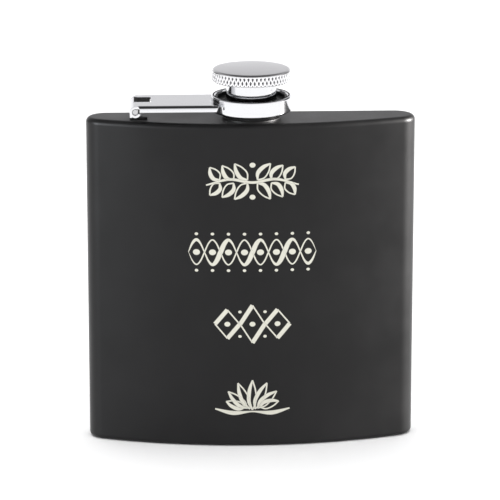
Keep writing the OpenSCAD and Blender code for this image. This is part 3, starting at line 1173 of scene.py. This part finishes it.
def studio_world():
    """Surroundings of the studio: white in front, falling off with height behind, dark overhead,
    with a dark flag on either side behind the object that gives bright metal its dark bands.
    The camera itself sees plain white."""
    world = bpy.data.worlds.new("studio")
    bpy.context.scene.world = world
    world.use_nodes = True
    tree = world.node_tree
    back = tree.nodes["Background"]
    place = tree.nodes.new("ShaderNodeTexCoord")
    x, y, z = split_xyz(tree, place.outputs["Generated"])
    squares = [math_node(tree, "MULTIPLY", part, part) for part in (x, y)]
    across = math_node(tree, "SQRT", math_node(tree, "ADD", *squares))
    bearing = math_node(tree, "DIVIDE", y, across)
    flags = ramp(tree, spread(tree, bearing, -1.0, 1.0, 0.0, 1.0),
                 [(0.0, 1.0), (0.61, 1.0), (0.66, 0.03), (0.89, 0.03), (0.93, 1.0), (1.0, 1.0)])
    behind = ramp(tree, z, [(0.0, 1.0), (0.1, 0.95), (0.216, 0.63), (0.36, 0.57), (0.48, 0.46),
                            (0.62, 0.14), (1.0, 0.03)])
    front = ramp(tree, z, [(0.0, 0.92), (0.38, 0.92), (0.5, 0.35), (0.62, 0.05), (1.0, 0.03)])
    side = spread(tree, y, -0.12, 0.12, 0.0, 1.0)
    blend = tree.nodes.new("ShaderNodeMix")
    blend.data_type = "FLOAT"
    for k, value in ((0, side), (2, front), (3, behind)):
        tree.links.new(value, blend.inputs[k])
    above = spread(tree, z, 0.3, 0.5, 0.0, 1.0)
    lit = math_node(tree, "MULTIPLY", blend.outputs[0], math_node(tree, "MAXIMUM", flags, above))
    path = tree.nodes.new("ShaderNodeLightPath")
    bright = math_node(tree, "MULTIPLY", lit, 1.2)
    total = math_node(tree, "MAXIMUM", bright, path.outputs["Is Camera Ray"])
    tree.links.new(total, back.inputs["Strength"])
    back.inputs["Color"].default_value = (0.985, 0.98, 1.0, 1)


def studio_floor():
    """Sheet of paper under the object, far wider than the view."""
    side = np.linspace(-6, 6, 9)
    x, y = np.meshgrid(side, side, indexing="ij")
    mesh = new_mesh(np.stack([x, y, 0 * x], 2), grid_faces(9, 9)[:, ::-1])
    mesh.name = "floor"
    mesh.materials.append(finished(matt_paper))
    floor = bpy.data.objects.new("floor", mesh)
    bpy.context.scene.collection.objects.link(floor)


def studio_lights():
    """Soft light from above, and one on either side that only the coated body receives."""
    overhead = area_light("overhead", (0, 0.1, 3.4), (0, 0.1, 0), 5.0, 224.0)
    overhead.visible_glossy = False
    aim = (0, 0, 0.06)
    left = area_light("side_left", (-0.95, -0.62, 0.34), aim, 0.5, 20.0, (0.92, 0.96, 1.0))
    right = area_light("side_right", (1.0, -0.03, 0.36), aim, 0.42, 105.0, (1.0, 0.975, 0.96))
    coat = bpy.data.collections.new("coated body")
    for name in ("body_wall", "body_top", "body_base", "weld_collar"):
        coat.objects.link(bpy.data.objects[name])
    for light in (left, right):
        light.visible_diffuse = False
        light.light_linking.receiver_collection = coat


def studio_camera():
    """Camera in front, a little left and above, with a long lens."""
    lens = bpy.data.cameras.new("camera")
    lens.lens, lens.sensor_width = 229.25, 36
    lens.clip_start, lens.clip_end = 0.01, 40
    camera = bpy.data.objects.new("camera", lens)
    bpy.context.scene.collection.objects.link(camera)
    camera.location = (-0.0338, -0.8751, 0.2856)
    forward = Vector((0.03695, 0.96646, -0.25412))
    camera.rotation_euler = forward.to_track_quat("-Z", "Y").to_euler()
    bpy.context.scene.camera = camera


class FLASK_OT_stage(FlaskPiece, bpy.types.Operator):
    """Lays the floor and sets the lights and the camera"""

    bl_idname = "flask.stage"
    bl_label = "Studio"

    def execute(self, context):
        studio_floor()
        studio_world()
        studio_lights()
        studio_camera()
        context.scene.view_settings.view_transform = "Standard"
        return {"FINISHED"}


class FLASK_PT_panel(bpy.types.Panel):
    """Lists the sizes, the finishes and the builders"""

    bl_idname = "FLASK_PT_panel"
    bl_label = "Hip Flask"
    bl_space_type = "VIEW_3D"
    bl_region_type = "UI"
    bl_category = "Flask"

    def draw(self, context):
        for group in (context.scene.flask_sizes, context.scene.flask_finish):
            for name in group.__annotations__:
                self.layout.prop(group, name)
        for builder in BUILDERS:
            self.layout.operator(builder.bl_idname)


BUILDERS = (FLASK_OT_body, FLASK_OT_neck, FLASK_OT_hinge, FLASK_OT_arm, FLASK_OT_cap,
            FLASK_OT_cap_head, FLASK_OT_ornament, FLASK_OT_stage)
CLASSES = (FlaskSizes, FlaskFinish, *BUILDERS, FLASK_PT_panel)


def register():
    for one in CLASSES:
        bpy.utils.register_class(one)
    bpy.types.Scene.flask_sizes = PointerProperty(type=FlaskSizes)
    bpy.types.Scene.flask_finish = PointerProperty(type=FlaskFinish)


def unregister():
    del bpy.types.Scene.flask_finish
    del bpy.types.Scene.flask_sizes
    for one in reversed(CLASSES):
        bpy.utils.unregister_class(one)


def main():
    register()
    for builder in BUILDERS:
        family, name = builder.bl_idname.split(".")
        getattr(getattr(bpy.ops, family), name)()


if __name__ == "__main__":
    main()
